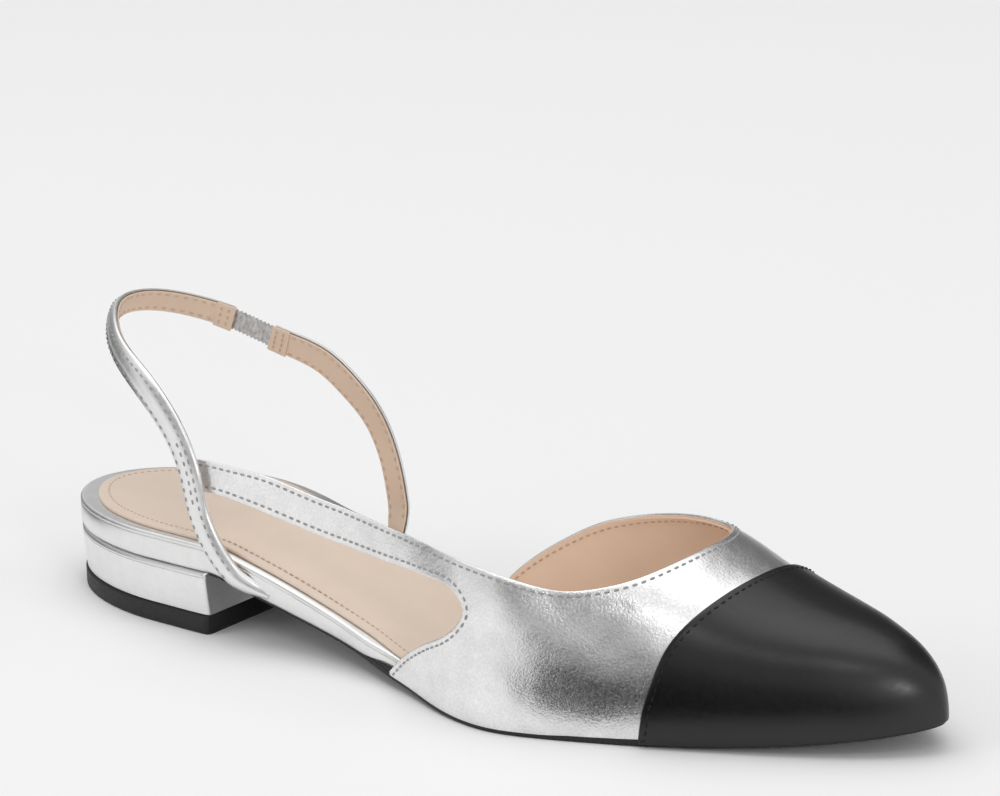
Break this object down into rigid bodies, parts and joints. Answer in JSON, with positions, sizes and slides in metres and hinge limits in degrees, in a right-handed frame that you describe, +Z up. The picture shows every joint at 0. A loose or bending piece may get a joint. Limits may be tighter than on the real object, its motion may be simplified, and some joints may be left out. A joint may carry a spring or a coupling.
{
  "type": "sling back flat",
  "caption": "Low-heeled sling back flat for a right foot: almond toe with a dark cap, open side strip, round-the-ankle strap with an elastic gore.",
  "frame": {"origin": "under the middle of the whole shoe's box, on the floor that the heel and the forefoot stand on", "axes": "+X along the shoe to the toe, +Y to the inner side of the foot, +Z up"},
  "size_m": [0.2662, 0.08, 0.0795],
  "materials": {
    "silver_leather": "metallic foil leather, softly crackled",
    "black_leather": "smooth, satin",
    "black_rubber": "matt",
    "nude_leather": "matt lining leather",
    "silver_elastic": "ribbed woven elastic"
  },
  "bodies": {
    "root": {"top_lift": "black_rubber", "heel_block": "silver_leather", "outsole": "black_rubber", "footbed": "silver_leather", "insole_sock": "nude_leather", "upper": "silver_leather", "toe_cap": "black_leather", "sling_strap_lateral": "silver_leather", "sling_elastic": "silver_elastic", "sling_strap_medial": "silver_leather"}
  },
  "joints": []
}
